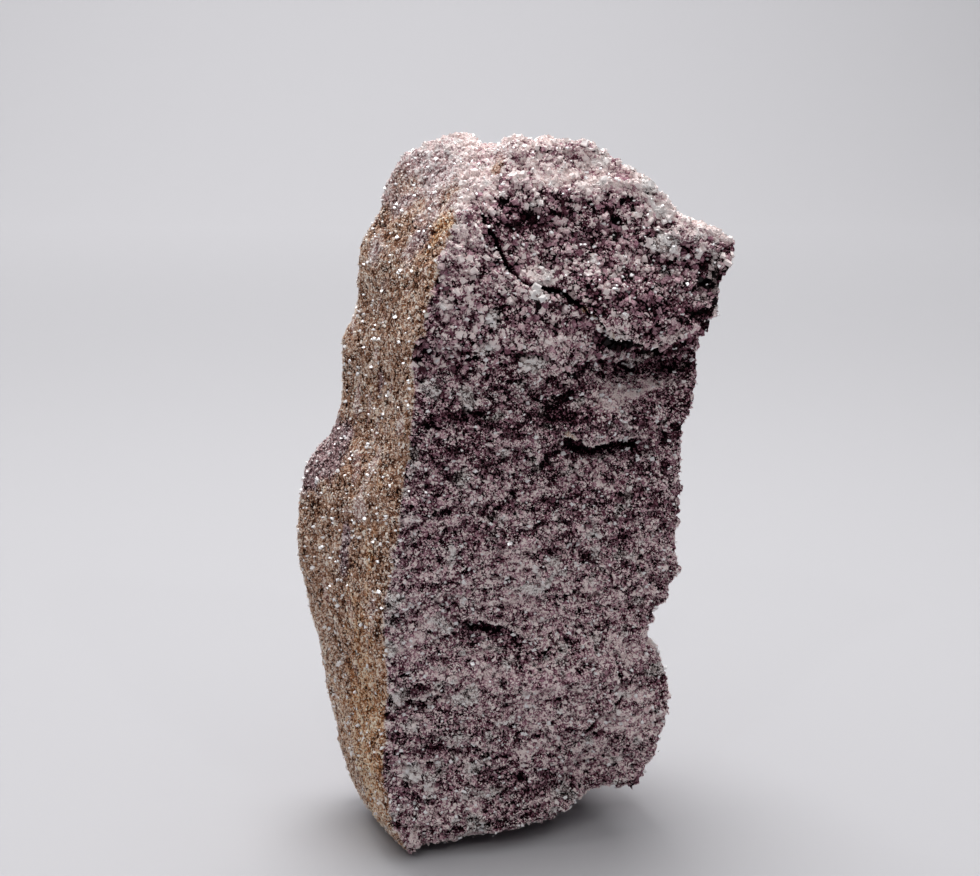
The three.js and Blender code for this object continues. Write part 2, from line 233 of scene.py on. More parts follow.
# hollows, sunk into the rock and darkened with painted shade
hollowMarks = [
    (0.27, 0.762, 3.9, 2.6, 0.6),
    (0.81, 0.674, 9.6, 2.2, 0.6),
    (0.41, 0.038, 15.2, 2.0, 0.7),
    (0.76, 0.780, 8.7, 2.6, 0.4),
    (0.5, 0.824, 4.8, 1.7, 0.4),
    (0.75, 0.738, 6.5, 1.7, 0.4),
    (0.34, 0.757, 3.5, 1.7, 0.4),
    (0.2, 0.541, 2.6, 2.2, 0.5),
    (0.67, 0.908, 7.4, 2.0, 0.75),
    (0.7, 0.882, 2.0, 2.6, 0.85),
    (0.53, 0.884, 5.2, 1.7, 0.5),
    (0.29, 0.801, 2.6, 1.7, 0.5),
    (0.24, 0.720, 2.0, 4.8, 0.8),
    (0.33, 0.717, 1.7, 1.5, 0.5),
    (0.53, 0.619, 3.7, 2.6, 0.8),
    (0.46, 0.636, 3.5, 1.5, 0.5),
    (0.66, 0.571, 9.1, 1.1, 0.9),
    (0.72, 0.708, 3.3, 1.3, 0.9),
    (0.83, 0.826, 5.7, 1.5, 0.7),
    (0.93, 0.808, 3.0, 3.5, 0.95),
    (0.73, 0.810, 2.8, 1.5, 0.6),
    (0.91, 0.751, 3.5, 2.0, 0.7),
    (0.88, 0.686, 7.4, 2.6, 0.6),
    (0.2, 0.581, 3.5, 2.6, 0.8),
    (0.26, 0.571, 2.6, 1.7, 0.6),
    (0.39, 0.504, 7.4, 1.5, 0.6),
    (0.36, 0.533, 3.5, 1.7, 0.6),
    (0.55, 0.504, 5.7, 1.5, 0.6),
    (0.66, 0.499, 4.3, 1.3, 0.5),
    (0.57, 0.434, 4.8, 1.7, 0.6),
    (0.38, 0.326, 6.5, 2.0, 0.85),
    (0.46, 0.301, 6.1, 1.3, 0.5),
    (0.67, 0.309, 6.5, 1.5, 0.5),
    (0.24, 0.249, 5.7, 1.3, 0.5),
    (0.2, 0.231, 1.7, 2.2, 0.5),
    (0.17, 0.350, 2.2, 1.3, 0.5),
    (0.48, 0.071, 13.0, 5.2, 0.7),
    (0.56, 0.216, 4.3, 1.1, 0.4),
    (0.27, 0.462, 3.9, 1.3, 0.3),
    (0.34, 0.431, 3.0, 1.1, 0.4),
    (0.64, 0.413, 3.0, 1.3, 0.5),
    (0.76, 0.538, 3.5, 1.7, 0.3),
]
# painted shade in the gap under the ledge
ledgeShadeMarks = [
    (0.72, 0.717, 3.0, 1.1, 1.0),
    (0.75, 0.708, 2.2, 0.9, 1.0),
    (0.81, 0.698, 2.6, 0.8, 1.0),
    (0.85, 0.705, 3.0, 1.1, 1.0),
    (0.88, 0.716, 2.6, 1.1, 1.0),
    (0.92, 0.726, 2.2, 1.0, 0.9),
]
# knobs that stand out
knobMarks = [
    (0.62, 0.619, 8.3, 3.7, 0.9),
    (0.32, 0.544, 2.6, 3.3, 0.8),
    (0.2, 0.124, 2.4, 3.7, 0.7),
    (0.35, 0.136, 3.3, 3.3, 0.5),
    (0.16, 0.383, 2.8, 2.8, 0.8),
    (0.34, 0.641, 2.2, 1.7, 0.7),
    (0.4, 0.759, 2.2, 3.5, 0.6),
    (0.81, 0.858, 5.0, 2.4, 0.5),
    (0.55, 0.829, 3.5, 2.2, 0.6),
    (0.63, 0.805, 4.8, 2.2, 0.6),
    (0.67, 0.747, 3.0, 1.7, 0.6),
    (0.58, 0.259, 13.0, 3.5, 0.5),
]
# lavender-grey patches on the weathered side, with (back, up) for their place
greyMarks = [
    (0.8, 0.540, 9.0, 9.0, 1.0),
    (0.44, 0.430, 1.8, 8.0, 0.9),
    (0.46, 0.660, 1.6, 4.0, 0.6),
    (0.4, 0.250, 1.5, 5.0, 0.5),
]
# rusty orange ones
orangeMarks = [
    (0.22, 0.880, 3.0, 6.0, 1.0),
    (0.28, 0.780, 1.6, 7.0, 0.7),
    (0.3, 0.170, 11.0, 32.0, 1.0),
    (0.22, 0.420, 2.0, 16.0, 0.6),
]

# the long crack, faint where it starts, and the fine one on the belly: points and strength
crackLines = [
    ([(0.387, 0.907), (0.389, 0.886), (0.411, 0.865)], 0.4),
    ([(0.411, 0.865), (0.428, 0.846), (0.442, 0.828), (0.463, 0.814), (0.482, 0.809)], 0.7),
    ([(0.482, 0.809), (0.524, 0.8), (0.555, 0.795), (0.599, 0.771), (0.637, 0.757), (0.669, 0.736)], 1.0),
    ([(0.637, 0.163), (0.674, 0.176), (0.708, 0.193), (0.729, 0.204)], 0.7),
]
# edges of small steps: the rock stands out above each line and falls back under it, by so many mm (the
# first number) and for so many mm down (the second)
stepLines = [
    ([(0.645, 0.735), (0.699, 0.727), (0.748, 0.717), (0.787, 0.714)], 3.4, 4.5),
    (
        [(0.76, 0.714), (0.787, 0.714), (0.827, 0.723), (0.864, 0.734), (0.905, 0.741), (0.97, 0.758)],
        2.6,
        2.8,
    ),
    ([(0.627, 0.692), (0.708, 0.695), (0.737, 0.701)], 0.7, 3.0),
    ([(0.566, 0.6), (0.6, 0.586), (0.651, 0.575), (0.702, 0.573), (0.754, 0.581), (0.779, 0.581)], 0.9, 3.6),
    ([(0.136, 0.252), (0.176, 0.23), (0.235, 0.23), (0.278, 0.249)], 0.6, 3.0),
    ([(0.307, 0.34), (0.367, 0.343), (0.429, 0.328), (0.488, 0.312)], 0.8, 4.0),
]
lineLook = {
    "wander": 0.5 * mm,
    "wanderSize": 2.2 * mm,
    "refineWithin": 1.0 * mm,
    "crackWidth": 0.4 * mm,
    "crackDepth": 2.2 * mm,
    "crackBare": 0.85 * mm,
    # painted shade: how much darker the crack is
    "crackShadeTone": 1.3,
    # up to which share of its width a crack is at its deepest, and the strip along it quite bare
    "crackFull": 0.25,
    "bareFull": 0.5,
    # steps: over what width they fall back, and how they fade in and out at their ends
    "stepWidth": 0.5 * mm,
    "fadeBefore": 2 * mm,
    "fadeAfter": 3 * mm,
    # where the hollow under a step and the painted shade in its gap run out, as shares of its reach
    "hollowOut": (0.25, 1),
    "gapOut": (0.4, 0.9),
    # how many mm deep a step is when the painted shade in its gap is at its darkest
    "gapFullAt": 2,
    "gapTone": 0.85,
    # how far under and over the edge a lip starts, and where it runs out, as shares of its height
    "lipStart": (-0.2 * mm, 0.1 * mm),
    "lipOut": (0.6, 1.8),
    "lipHeight": 0.7 * mm,
    "lipRise": 0.5 * mm,
    "lipTone": 0.35,
    "lipQuartz": 0.6,
}

# from which share of a normal that points forward a surface starts to count, and where it counts in full
frontFrom = (0.1, 0.6)
notBackFrom = (-0.3, 0.15)


def facingFront(normals):
    return ease(-normals[:, 1], *frontFrom)


def notBack(normals):
    return ease(-normals[:, 1], *notBackFrom)


def markShare(points, marks, axis=0):
    # how much each point lies in any of the marks, from 0 to 1; axis 0 for the front, 1 for the side
    total = np.zeros(len(points))
    for across, up, reachAcross, reachUp, strength in marks:
        x = (points[:, axis] - low[axis] - across * size[axis]) / (reachAcross * mm)
        z = (points[:, 2] - low[2] - up * size[2]) / (reachUp * mm)
        total = np.maximum(total, strength * np.exp(-(x * x + z * z)))
    return total


def spots(line):
    # a line's points in metres, across and up
    return np.array([(low[0] + a * size[0], low[2] + u * size[2]) for a, u in line])


def wandering(points):
    # across and up, shaken a little so that lines run ragged
    shakes = [smoothNoise(points, lineLook["wanderSize"], seeds[way]) for way in ("wanderAcross", "wanderUp")]
    return points[:, [0, 2]] + lineLook["wander"] * np.stack(shakes, axis=1)


def toLines(flat, lines):
    # distance from each point to the nearest of the lines
    nearest = np.full(len(flat), np.inf)
    for line in lines:
        ends = spots(line)
        for start, end in zip(ends, ends[1:]):
            run = end - start
            along = np.clip((flat - start) @ run / (run @ run), 0, 1)
            nearest = np.minimum(nearest, np.linalg.norm(flat - start - along[:, None] * run, axis=1))
    return nearest


def runOut(value, span, reach):
    # 1 up to the start of the span and 0 past its end, both as shares of the reach
    return 1 - ease(value, span[0] * reach, span[1] * reach)


def crackShare(points, normals):
    # 1 in the middle of a strong crack and 0 beyond its width, and the same for the strip bare of scales
    look = lineLook
    flat = wandering(points)
    width = look["crackWidth"]
    crack, bare = np.zeros((2, len(points)))
    for line, strength in crackLines:
        nearest = toLines(flat, [line])
        crack = np.maximum(crack, strength * runOut(nearest, (look["crackFull"], 1), width))
        isBare = 1 - ease(nearest, width * look["bareFull"], look["crackBare"])
        bare = np.maximum(bare, strength * isBare)
    return crack * notBack(normals), bare * notBack(normals)


def stepDepth(points, normals):
    # how far the rock falls back under the steps, in metres, how much each point is on a lip, and how much it
    # is in the gap under one, where shade is painted
    look = lineLook
    flat = wandering(points)
    depth, lip, gap = np.zeros((3, len(points)))
    for line, deepMm, reachMm in stepLines:
        deep, reach = deepMm * mm, reachMm * mm
        ends = spots(line)
        edge = np.interp(flat[:, 0], ends[:, 0], ends[:, 1])
        first, last = ends[0, 0], ends[-1, 0]
        fade = ease(flat[:, 0], first - look["fadeBefore"], first + look["fadeAfter"])
        fade = fade * (1 - ease(flat[:, 0], last - look["fadeAfter"], last + look["fadeBefore"]))
        under = edge - flat[:, 1]
        below = ease(under, 0, look["stepWidth"]) * fade
        depth = np.maximum(depth, deep * below * runOut(under, look["hollowOut"], reach))
        strength = min(deepMm / look["gapFullAt"], 1)
        gap = np.maximum(gap, strength * below * runOut(under, look["gapOut"], reach))
        onLip = ease(-under, *look["lipStart"]) * runOut(-under, look["lipOut"], look["lipHeight"])
        lip = np.maximum(lip, fade * onLip)
    facing = notBack(normals)
    return depth * facing, lip * facing, gap * facing


skinLook = {
    # how far a surface turns to the left before it is weathered, and how ragged the border is
    "facing": (0.45, 0.62),
    "ragged": 0.16,
    "raggedSize": 6 * mm,
    "raggedFine": 0.12,
    "raggedFineSize": 1.4 * mm,
    # the strip along the border, as shares of weathered rock
    "borderStart": (0.02, 0.3),
    "borderEnd": (0.7, 0.98),
    # tones, as shares of the way from the darkest to the palest shade
    "tone": 0.09,
    "uneven": 0.35,
    "dripTone": 0.1,
    "speckTone": 0.28,
    "rosyTone": 0.2,
    "greyTone": -0.12,
    "orangeTone": 0.1,
    "chalkTone": 0.12,
    # where each kind shows, as shares of the height or strengths of its noise
    "rosyAbove": (0.84, 0.97),
    "rosyRagged": 0.12,
    "greyFrom": (0.25, 0.6),
    "greyRagged": 0.2,
    "orangeFrom": (0.3, 0.8),
    "orangeRagged": 0.3,
    "brightOrangeAbove": (0.6, 0.8),
    "rustyBorder": 0.8,
    "rustyBorderAbove": (0.3, 0.9),
    "rustyBorderRagged": 0.2,
    "rustyDrips": 0.4,
    "rustyDripsFrom": (0.2, 0.7),
    "dripSize": 2.6 * mm,
    "speckSize": 0.9 * mm,
    "specksFrom": (0.4, 0.65),
    "chalkFrom": (0.5, 0.9),
    "chalkAbove": (0.2, 0.4),
    "chalkClear": 0.35,
    "chalkRosy": 0.6,
}


def skinShare(points, normals):
    # the weathered side: 1 on it, 0 on broken rock, with a ragged border
    look = skinLook
    ragged = look["ragged"] * roughNoise(points, look["raggedSize"], seeds["skinEdge"])
    ragged = ragged + look["raggedFine"] * smoothNoise(points, look["raggedFineSize"], seeds["skinEdgeFine"])
    return ease(-normals[:, 0] + ragged, *look["facing"])


freshLook = {
    # tones, as shares of the way from the darkest to the palest shade
    "patchTone": 0.24,
    "patchSize": 8 * mm,
    "blotchTone": 0.3,
    "blotchSize": 2.6 * mm,
    "bandTone": 0.12,
    "bandSize": 7 * mm,
    "lowerTone": 0.19,
    "lowerFrom": 0.62,
    "lowerOver": 0.4,
    "pitShadeTone": 0.5,
    # lighter at the pale marks and on faces turned up, the latter as painted light from above
    "paleTone": 0.74,
    "hollowShadeTone": 0.5,
    "gapTone": 0.9,
    "quartzTone": 0.14,
    "borderTone": 0.15,
    # pits: fine ones all over, coarse ones toward the top
    "pitSize": 1.5 * mm,
    "pitsFrom": (0.3, 0.6),
    "coarsePitSize": 3.3 * mm,
    "coarsePitsFrom": (0.35, 0.65),
    "coarsePitsAbove": (0.35, 0.6),
    # quartz: patches, specks and a share of the weathered side's border, besides the marks
    "kindSize": 7 * mm,
    "smallKindSize": 2.6 * mm,
    "quartzPatches": 0.8,
    "quartzPatchesFrom": (0.45, 0.8),
    "quartzSpecks": 0.3,
    "quartzSpecksFrom": (0.25, 0.7),
    "quartzBorder": 0.6,
    "quartzRagged": 0.3,
    "quartzFrom": (0.3, 0.6),
    # from which share of a normal that points up a face is made lighter, as painted light from above
    "topFrom": (0.35, 0.8),
    "shadeEase": 0.7,
}


def upShare(points):
    return (points[:, 2] - low[2]) / size[2]


def pitShare(points):
    # small pits between the clusters of scales, larger toward the top; they are sunk into the rock and
    # darkened with painted shade
    look = freshLook
    flat = points * pitStretch
    fine = ease(roughNoise(flat, look["pitSize"], seeds["finePits"], 2), *look["pitsFrom"])
    coarse = ease(roughNoise(flat, look["coarsePitSize"], seeds["coarsePits"], 2), *look["coarsePitsFrom"])
    return np.maximum(fine, coarse * ease(upShare(points), *look["coarsePitsAbove"]))


def unevenTone(points):
    # patches and small blotches, both a little flattened
    look = freshLook
    flat = points * patchStretch
    patches = roughNoise(flat, look["patchSize"], seeds["patches"])
    blotches = roughNoise(flat, look["blotchSize"], seeds["blotches"], 2)
    return look["patchTone"] * patches + look["blotchTone"] * blotches


def freshTone(points, normals, uneven, pale):
    # broken rock: banded, lighter low down, with painted shade in pits, hollows and the gap under the ledge,
    # lighter on faces turned up as painted light from above, and pale at the pale marks
    look = freshLook
    bands = look["bandTone"] * roughNoise(points * bandStretch, look["bandSize"], seeds["bands"], 2)
    bands += look["lowerTone"] * ease(look["lowerFrom"] - upShare(points), 0, look["lowerOver"])
    hollow = markShare(points, hollowMarks) * facingFront(normals)
    tone = uneven + bands - look["pitShadeTone"] * pitShare(points)
    tone -= look["gapTone"] * markShare(points, ledgeShadeMarks) * notBack(normals)
    tone += look["paleTone"] * pale - look["hollowShadeTone"] * hollow
    return tone


def quartzShare(points, normals, border, patchy, small):
    # quartz at its marks and along the weathered side, and in patches and specks elsewhere
    look = freshLook
    shares = [
        markShare(points, quartzMarks) * facingFront(normals),
        look["quartzPatches"] * ease(patchy, *look["quartzPatchesFrom"]),
        look["quartzSpecks"] * ease(small, *look["quartzSpecksFrom"]),
        look["quartzBorder"] * border,
    ]
    return ease(np.max(shares, axis=0) + look["quartzRagged"] * small, *look["quartzFrom"])


def weatheredRock(points, uneven, border, patchy, small):
    # the tone of the tan side, and how rosy and rusty it is: rosy toward the top, grey and orange at their
    # marks, with drips, specks and chalky streaks
    look = skinLook
    up = upShare(points)
    rosy = ease(up + look["rosyRagged"] * patchy, *look["rosyAbove"])
    grey = ease(markShare(points, greyMarks, 1) + look["greyRagged"] * small, *look["greyFrom"])
    orange = ease(markShare(points, orangeMarks, 1) + look["orangeRagged"] * small, *look["orangeFrom"])
    drips = roughNoise(points * dripStretch, look["dripSize"], seeds["drips"], 2)
    specks = ease(smoothNoise(points, look["speckSize"], seeds["specks"]), *look["specksFrom"])
    chalky = ease(drips - look["chalkClear"] * patchy, *look["chalkFrom"])
    chalky = chalky * ease(up, *look["chalkAbove"]) * (1 - rosy)
    tone = look["uneven"] * uneven + look["dripTone"] * drips - look["speckTone"] * specks + look["tone"]
    tone += look["rosyTone"] * rosy + look["greyTone"] * grey
    tone += look["orangeTone"] * orange * ease(up, *look["brightOrangeAbove"])
    rustyBorder = ease(up + look["rustyBorderRagged"] * patchy, *look["rustyBorderAbove"])
    rusty = np.maximum(orange, look["rustyBorder"] * border * rustyBorder)
    rusty = rusty + look["rustyDrips"] * ease(drips, *look["rustyDripsFrom"]) * (1 - rosy)
    rosy = np.clip(rosy + grey + look["chalkRosy"] * chalky, 0, 1)
    return tone + look["chalkTone"] * chalky, rosy, np.clip(rusty, 0, 1)


def masks(points, normals, skin):
    # how light each point is, how much the rock between its grains is shaded, and how much of it is quartz,
    # rosy or rusty
    look = freshLook
    uneven = unevenTone(points)
    patchy = roughNoise(points, look["kindSize"], seeds["kinds"])
    small = roughNoise(points, look["smallKindSize"], seeds["smallKinds"], 2)
    border = ease(skin, *skinLook["borderStart"]) * (1 - ease(skin, *skinLook["borderEnd"]))
    pale = markShare(points, paleMarks) * facingFront(normals)
    # faces turned up are made lighter: painted light from above
    pale = np.maximum(pale, ease(normals[:, 2], *look["topFrom"]))
    quartz = quartzShare(points, normals, border, patchy, small)
    skinTone, rosy, rusty = weatheredRock(points, uneven, border, patchy, small)
    tone = blend(freshTone(points, normals, uneven, pale), skinTone, skin)
    tone = tone + look["quartzTone"] * quartz * (1 - skin) + look["borderTone"] * border
    shade = (1 - look["shadeEase"] * skin) * (1 - look["shadeEase"] * pale)
    return tone, shade, {"quartz": quartz, "rosy": rosy, "rusty": rusty}


# Meshes from numbers


def readRows(items, name, width, kind=float):
    # what each vertex, edge or triangle holds under that name, as a row of so many numbers
    flat = np.empty(len(items) * width, dtype=kind)
    items.foreach_get(name, flat)
    return flat.reshape(-1, width)


def writeVertices(mesh, points):
    mesh.vertices.foreach_set("co", points.ravel())
    mesh.update()


def addNumbers(mesh, numbers):
    # numbers by name, one for each vertex, for the material to read
    for name, values in numbers.items():
        layer = mesh.attributes.new(name, "FLOAT", "POINT")
        layer.data.foreach_set("value", values.astype(np.float32))


def addObject(name, data):
    added = bpy.data.objects.new(name, data)
    bpy.context.scene.collection.objects.link(added)
    return added


# Materials


class NodeMaker:
    # short ways to add and join the nodes of one material

    noiseDetail = 2

    def __init__(self, name):
        self.material = bpy.data.materials.new(name)
        self.material.use_nodes = True
        self.nodes = self.material.node_tree.nodes
        self.links = self.material.node_tree.links
        self.place = self.add("ShaderNodeTexCoord", {}).outputs["Object"]

    def fill(self, node, inputs):
        # sets a node's inputs, found by name or number, or joins them to other nodes
        for name, value in inputs.items():
            if isinstance(value, bpy.types.NodeSocket):
                self.links.new(value, node.inputs[name])
            else:
                node.inputs[name].default_value = value

    def add(self, kind, inputs, **settings):
        node = self.nodes.new(kind)
        for name, value in settings.items():
            setattr(node, name, value)
        self.fill(node, inputs)
        return node

    def math(self, operation, *values):
        node = self.add("ShaderNodeMath", dict(enumerate(values)), operation=operation)
        return node.outputs["Value"]

    def number(self, name):
        return self.add("ShaderNodeAttribute", {}, attribute_name=name).outputs["Fac"]

    def noise(self, scale):
        inputs = {"Vector": self.place, "Scale": scale, "Detail": self.noiseDetail}
        return self.add("ShaderNodeTexNoise", inputs)

    def shaken(self, scale, reach):
        # places moved about a little, for ragged grains
        inputs = {0: self.noise(scale).outputs["Color"], 1: (reach, reach, reach), 2: self.place}
        return self.add("ShaderNodeVectorMath", inputs, operation="MULTIPLY_ADD").outputs["Vector"]

    def grains(self, scale, place, feature="F1"):
        return self.add("ShaderNodeTexVoronoi", {"Vector": place, "Scale": scale}, feature=feature)

    def ramp(self, value, shades):
        node = self.add("ShaderNodeValToRGB", {"Fac": value})
        stops = node.color_ramp.elements
        while len(stops) < len(shades):
            stops.new(0.5)
        for k, shade in enumerate(shades):
            stops[k].position = k / (len(shades) - 1)
            stops[k].color = (*linear(shade), 1)
        return node.outputs["Color"]

    def mix(self, share, a, b):
        node = self.add("ShaderNodeMix", {}, data_type="RGBA")
        values = {"Factor_Float": share, "A_Color": a, "B_Color": b}
        sockets = enumerate(node.inputs)
        self.fill(node, {k: values[s.identifier] for k, s in sockets if s.identifier in values})
        return next(s for s in node.outputs if s.identifier == "Result_Color")

    def finish(self, inputs):
        self.fill(self.nodes["Principled BSDF"], inputs)
        return self.material


def plainFinish(name, look):
    color = (*linear(look["shade"]), 1)
    inputs = {"Base Color": color, "Roughness": look["roughness"], "Specular IOR Level": look["gloss"]}
    return NodeMaker(name).finish(inputs)


def rockFinish(name, look):
    # each grain takes a tone of its own, and its colour from the kind of rock it lies in
    make = NodeMaker(name)
    shaken = make.shaken(look["shakeScale"], look["shake"])
    grains = make.grains(look["grainScale"], shaken).outputs["Color"]
    own = make.add("ShaderNodeSeparateColor", {"Color": grains}).outputs["Red"]
    fine = make.noise(look["fineScale"]).outputs["Fac"]
    seam = make.grains(look["grainScale"], shaken, "DISTANCE_TO_EDGE").outputs["Distance"]
    # painted shade along the seams between grains
    gap = make.math("LESS_THAN", seam, look["gap"])
    tone = make.math("MULTIPLY_ADD", own, look["grainTone"], make.number("tone"))
    tone = make.math("MULTIPLY_ADD", fine, look["fineTone"], tone)
    tone = make.math("MULTIPLY_ADD", gap, -look["gapTone"], tone)
    weathered = make.mix(make.number("rusty"), make.ramp(tone, skinShades), make.ramp(tone, rustyShades))
    weathered = make.mix(make.number("rosy"), weathered, make.ramp(tone, rosyShades))
    fresh = make.mix(make.number("quartz"), make.ramp(tone, freshShades), make.ramp(tone, quartzShades))
    polish = make.number("polish")
    bump = {"Strength": look["bump"], "Distance": look["bumpDepth"], "Height": tone}
    return make.finish(
        {
            "Base Color": make.mix(make.number("skin"), fresh, weathered),
            "Roughness": make.math("MULTIPLY_ADD", polish, look["shiny"] - look["dull"], look["dull"]),
            "Specular IOR Level": look["gloss"],
            "Normal": make.add("ShaderNodeBump", bump).outputs["Normal"],
        }
    )


# The rock itself

bodyLook = {
    "voxel": 1.04 * mm,
    # from which share of a normal that points forward, or up, the mesh is made finer
    "fineFront": 0.35,
    "fineTop": 0.5,
    "smoothing": 3,
    "normalSmoothing": 6,
    # height and size
    "lumps": (0.65 * mm, 7 * mm),
    "clumps": (0.8 * mm, 3.4 * mm),
    "grains": (0.5 * mm, 1.9 * mm),
    "fineGrains": (0.3 * mm, 1.1 * mm),
    # heights of what has a size of its own
    "pits": 0.7 * mm,
    "hollows": 1.5 * mm,
    "knobs": 0.9 * mm,
    "inset": 0.2 * mm,
    "weatheredShare": 0.3,
    # each grain's face tilts and has a groove at its edge, as shares of its step and size
    "grainTilt": 2.2,
    "grainGroove": 0.25,
    "grooveWidth": 0.3,
    # how near the ground the foot stays flat, and how far its front edge lifts off it
    "floorBand": 0.4 * mm,
    "footLift": 2.5 * mm,
    "liftForward": (3 * mm, 10 * mm),
    "liftRight": (-29 * mm, -21 * mm),
    "liftBelow": 9 * mm,
    # tones: points sunken by so much among their neighbours are darker, as painted shade
    "sunkenSmoothing": 4,
    "sunkenDepth": 0.45 * mm,
    "sunkenShadeTone": 0.25,
    # painted shade: how much darker the rock between the grains is made
    "shade": 0.18,
    "polish": 0.5,
    "finish": {
        "shakeScale": 1500,
        "shake": 0.45 * mm,
        "grainScale": 1500,
        "grainTone": 0.62,
        "fineScale": 4200,
        "fineTone": 0.3,
        # painted shade along the seams between grains: how wide and how dark
        "gap": 0.09,
        "gapTone": 0.3,
        "dull": 0.85,
        "shiny": 0.6,
        "gloss": 0.06,
        "bump": 0.6,
        "bumpDepth": 0.3 * mm,
    },
}


def remeshedBlock():
    # the CAD block as a fine even mesh
    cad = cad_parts[blockName]
    rock = addObject("rock_body", cad.data.copy())
    rock.matrix_world = cad.matrix_world
    rock.data.materials.clear()
    remesh = rock.modifiers.new("even", "REMESH")
    remesh.mode = "VOXEL"
    remesh.voxel_size = bodyLook["voxel"]
    graph = bpy.context.evaluated_depsgraph_get()
    mesh = bpy.data.meshes.new_from_object(rock.evaluated_get(graph))
    rock.modifiers.clear()
    rock.data = mesh
    return rock


def halve(grid, edges):
    bmesh.ops.subdivide_edges(grid, edges=list(edges), cuts=1, use_grid_fill=True)
    grid.verts.index_update()


def refine(mesh):
    # a finer mesh on the front and the top, and finer again along the cracks and steps
    look = bodyLook
    grid = bmesh.new()
    grid.from_mesh(mesh)
    fine = [f for f in grid.faces if f.normal.y < -look["fineFront"] or f.normal.z > look["fineTop"]]
    halve(grid, {edge for face in fine for edge in face.edges})
    points = np.array([v.co for v in grid.verts])
    nearest = toLines(wandering(points), [entry[0] for entry in crackLines + stepLines])
    close = (nearest < lineLook["refineWithin"]) & (points[:, 1] < 0)
    halve(grid, {e for e in grid.edges if close[e.verts[0].index] and close[e.verts[1].index]})
    bmesh.ops.triangulate(grid, faces=grid.faces)
    grid.to_mesh(mesh)
    grid.free()


def smoothed(points, edges, rounds, hold=None):
    # each point moves to the mean of its neighbours, except where it is held
    count = np.bincount(edges.ravel(), minlength=len(points))[:, None]
    ends = np.concatenate([edges[:, 0], edges[:, 1]])
    others = np.concatenate([edges[:, 1], edges[:, 0]])
    columns = range(points.shape[1])
    for _ in range(rounds):
        sums = [np.bincount(ends, weights=points[others, k], minlength=len(points)) for k in columns]
        mean = np.stack(sums, axis=1) / count
        points = mean if hold is None else np.where(hold[:, None], points, mean)
    return points


def grainStep(points, name):
    # a step up or down for each grain, with its face tilted its own way and a groove at its edge
    look = bodyLook
    height, scale = look[name]
    seed = seeds[name]
    owner, seam, offset = grainCells(points, scale, seed)
    rise = cellNumber(owner, seed + riseSeed) - 0.5
    tilts = np.stack([cellNumber(owner, seed + k) - 0.5 for k in tiltSeeds], axis=1)
    slope = np.sum(tilts * offset, axis=1) / scale
    groove = 1 - ease(seam, 0, look["grooveWidth"] * scale)
    return height * (rise + look["grainTilt"] * slope - look["grainGroove"] * groove)


def footLift(points):
    # the foot's front edge hangs a little clear of the ground
    look = bodyLook
    lift = ease(-points[:, 1], *look["liftForward"]) * ease(points[:, 0], *look["liftRight"])
    return look["footLift"] * lift * (1 - ease(points[:, 2], 0, look["liftBelow"]))


def rockHeight(points, normals, skin, depth, lip, crack):
    # how far each point of the smoothed block moves out (or in, below 0)
    look = bodyLook
    front = facingFront(normals)
    flat = points * lumpStretch
    height = look["lumps"][0] * roughNoise(flat, look["lumps"][1], seeds["lumps"])
    height += grainStep(flat, "clumps")
    height += grainStep(points, "grains")
    height += grainStep(points, "fineGrains") * front
    height -= look["pits"] * pitShare(points) * ease(front, -1, 1)
    height *= blend(1.0, look["weatheredShare"], skin)
    height += look["knobs"] * markShare(points, knobMarks) * front
    height -= look["hollows"] * markShare(points, hollowMarks) * front
    height += lineLook["lipRise"] * lip - depth
    height -= lineLook["crackDepth"] * crack * front
    return height - look["inset"]


def makeRock():
    # the body, and what the grains need to know of its surface
    look = bodyLook
    rock = remeshedBlock()
    mesh = rock.data
    refine(mesh)
    edges = readRows(mesh.edges, "vertices", 2, np.int32)
    points = readRows(mesh.vertices, "co", 3)
    onFloor = points[:, 2] < low[2] + look["floorBand"]
    points = smoothed(points, edges, look["smoothing"], onFloor)
    writeVertices(mesh, smoothed(points, edges, look["normalSmoothing"], onFloor))
    normals = readRows(mesh.vertex_normals, "vector", 3)
    skin = skinShare(points, normals)
    depth, lip, gap = stepDepth(points, normals)
    crack, bare = crackShare(points, normals)
    height = rockHeight(points, normals, skin, depth, lip, crack)
    shaped = points + normals * np.where(onFloor, 0, height)[:, None]
    shaped[:, 2] += footLift(points)
    shaped = np.clip(shaped, low, high)
    writeVertices(mesh, shaped)
    around = smoothed(shaped, edges, look["sunkenSmoothing"])
    sunken = np.clip(np.sum((around - shaped) * normals, axis=1) / look["sunkenDepth"], -1, 1)
    tone, shade, kinds = masks(shaped, normals, skin)
    # painted shade where the rock is sunken among its neighbours, in the gaps under the steps and in the
    # cracks; the lips are made lighter
    tone = tone - look["sunkenShadeTone"] * sunken - lineLook["gapTone"] * gap
    tone += lineLook["lipTone"] * lip - lineLook["crackShadeTone"] * crack
    kinds["quartz"] = np.maximum(kinds["quartz"], lineLook["lipQuartz"] * lip)
    # the rock between the grains gets painted shade, so the gaps among them read dark
    numbers = {"tone": tone - look["shade"] * shade, "skin": skin, "polish": look["polish"] * (1 - skin)}
    addNumbers(mesh, {**numbers, **kinds})
    mesh.materials.append(rockFinish("broken_rock", look["finish"]))
    mesh.shade_flat()
    mesh.calc_loop_triangles()
    print("rock has", len(mesh.loop_triangles), "triangles")
    return rock, {"points": shaped, "normals": normals, "skin": skin, "tone": tone, "bare": bare}


# Mica scales and grains that stand on the rock

